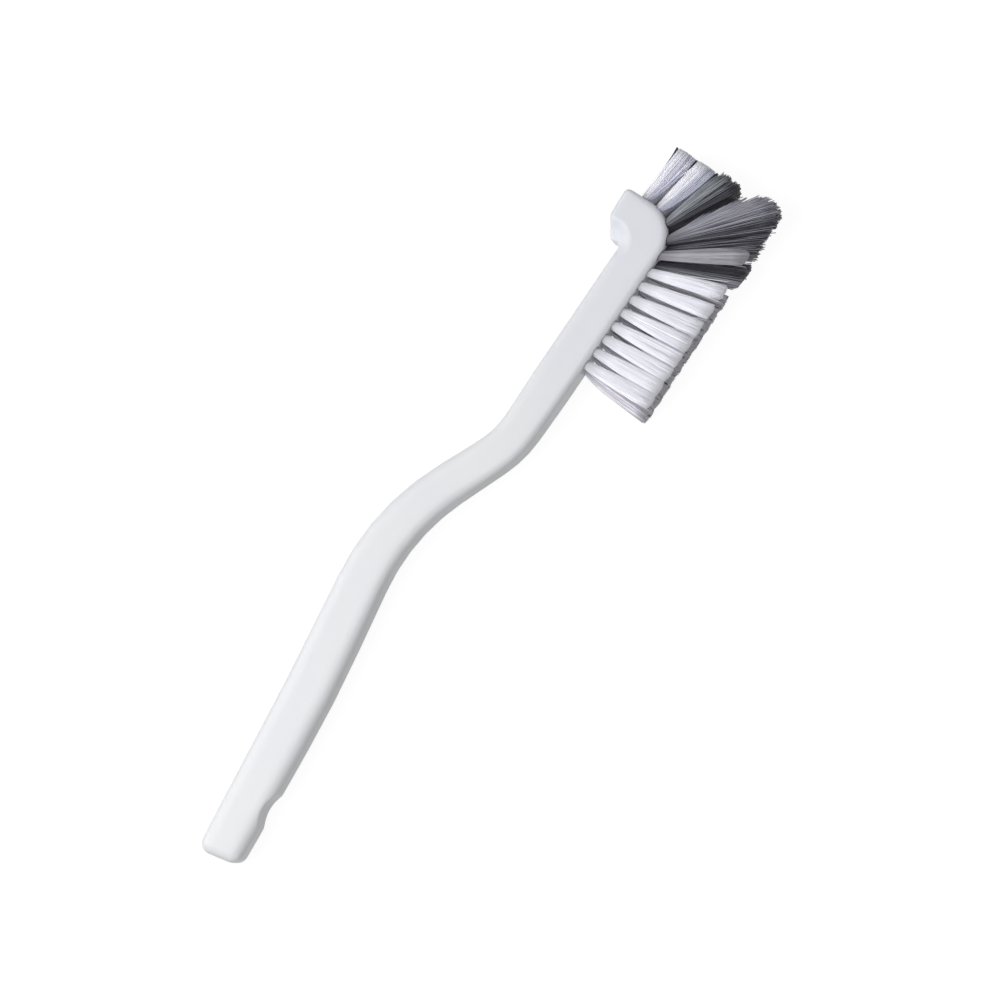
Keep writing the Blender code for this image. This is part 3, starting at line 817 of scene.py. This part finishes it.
def floor_material():
    """Shows white with a faint shadow, and gives back less light than it shows."""
    material = bpy.data.materials.new("white_table")
    material.use_nodes = True
    tree = material.node_tree
    tree.nodes.clear()
    shown = tree.nodes.new("ShaderNodeAddShader")
    glow = tree.nodes.new("ShaderNodeEmission")
    glow.inputs["Strength"].default_value = FLOOR_WHITE
    shade = tree.nodes.new("ShaderNodeBsdfDiffuse")
    shade.inputs["Color"].default_value = grey(FLOOR_SHADE)
    bounce = tree.nodes.new("ShaderNodeBsdfDiffuse")
    bounce.inputs["Color"].default_value = grey(FLOOR_BOUNCE)
    choose = tree.nodes.new("ShaderNodeMixShader")
    leave = tree.nodes.new("ShaderNodeOutputMaterial")
    tree.links.new(glow.outputs[0], shown.inputs[0])
    tree.links.new(shade.outputs[0], shown.inputs[1])
    tree.links.new(seen_directly(tree), choose.inputs[0])
    tree.links.new(bounce.outputs[0], choose.inputs[1])
    tree.links.new(shown.outputs[0], choose.inputs[2])
    tree.links.new(choose.outputs[0], leave.inputs["Surface"])
    return material


def make_floor():
    """A wide table top just under the brush."""
    mesh = bpy.data.meshes.new("table_top")
    ways = ((-1, -1), (1, -1), (1, 1), (-1, 1))
    corners = [(x * TABLE_HALF, y * TABLE_HALF, -TABLE_DROP) for x, y in ways]
    mesh.from_pydata(corners, [], [(0, 1, 2, 3)])
    mesh.materials.append(floor_material())
    floor = bpy.data.objects.new("table_top", mesh)
    bpy.context.scene.collection.objects.link(floor)


def view_axes():
    """Right, up and back of the camera in the brush's frame."""
    tilt = math.radians(VIEW_TILT)
    roll = math.radians(VIEW_ROLL)
    along = Vector((1.0, 0.0, 0.0))
    across = Vector((0.0, math.cos(tilt), math.sin(tilt)))
    back = Vector((0.0, -math.sin(tilt), math.cos(tilt)))
    right = math.cos(roll) * along - math.sin(roll) * across
    up = math.sin(roll) * along + math.cos(roll) * across
    return right, up, back


def view_target():
    """The point of the brush's mid-plane at the picture's centre."""
    across = VIEW_CENTRE_ACROSS / math.cos(math.radians(VIEW_TILT))
    return Vector((VIEW_CENTRE_X, across, MID_HEIGHT))


def make_camera():
    """The photograph's view, nearly square to the side face."""
    right, up, back = view_axes()
    data = bpy.data.cameras.new("camera")
    data.lens = LENS
    data.sensor_width = SENSOR
    camera = bpy.data.objects.new("camera", data)
    bpy.context.scene.collection.objects.link(camera)
    distance = PICTURE_WIDTH * LENS / SENSOR
    camera.matrix_world = Matrix((right, up, back)).transposed().to_4x4()
    camera.matrix_world.translation = view_target() + back * distance
    bpy.context.scene.camera = camera


class Softbox(NamedTuple):
    """A square lamp, in a direction made of parts of the picture's right, up and back."""

    name: str
    right: float
    up: float
    back: float
    distance: float
    size: float
    level: float


SOFTBOXES = (
    Softbox("key_softbox", right=-1.0, up=0.0, back=1.3,
            distance=0.75, size=0.55, level=KEY_LEVEL),
    Softbox("fill_softbox", right=0.15, up=0.0, back=1.0,
            distance=1.9, size=0.5, level=FILL_LEVEL),
    Softbox("edge_softbox", right=-1.0, up=0.35, back=0.15,
            distance=1.0, size=0.5, level=EDGE_LEVEL),
    Softbox("rim_softbox", right=-0.5, up=-0.8, back=0.6,
            distance=1.2, size=0.5, level=RIM_LEVEL),
)


def add_softbox(softbox):
    """Hang a lamp that lights a white surface facing it to its level."""
    right, up, back = view_axes()
    way = softbox.right * right + softbox.up * up + softbox.back * back
    data = bpy.data.lights.new(softbox.name, "AREA")
    data.shape = "SQUARE"
    data.size = softbox.size
    # A white surface that faces the lamp shows its power / (pi * distance)**2
    data.energy = softbox.level * math.pi**2 * softbox.distance**2
    lamp = bpy.data.objects.new(softbox.name, data)
    bpy.context.scene.collection.objects.link(lamp)
    lamp.location = view_target() + way.normalized() * softbox.distance
    lamp.rotation_euler = way.to_track_quat("Z", "Y").to_euler()


def make_lamps():
    """A soft key from the picture's left, a weak frontal fill, and two lamps for the edges."""
    for softbox in SOFTBOXES:
        add_softbox(softbox)


def dress_brush():
    """Build the whole picture."""
    materials = make_materials()
    grow_skin(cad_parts["handle"], materials["plastic"])
    make_tufts(materials)
    finish_anchors(materials["wire"])
    make_sky()
    make_floor()
    make_camera()
    make_lamps()
    bpy.context.scene.view_settings.view_transform = "Standard"
    bpy.context.view_layer.update()


dress_brush()
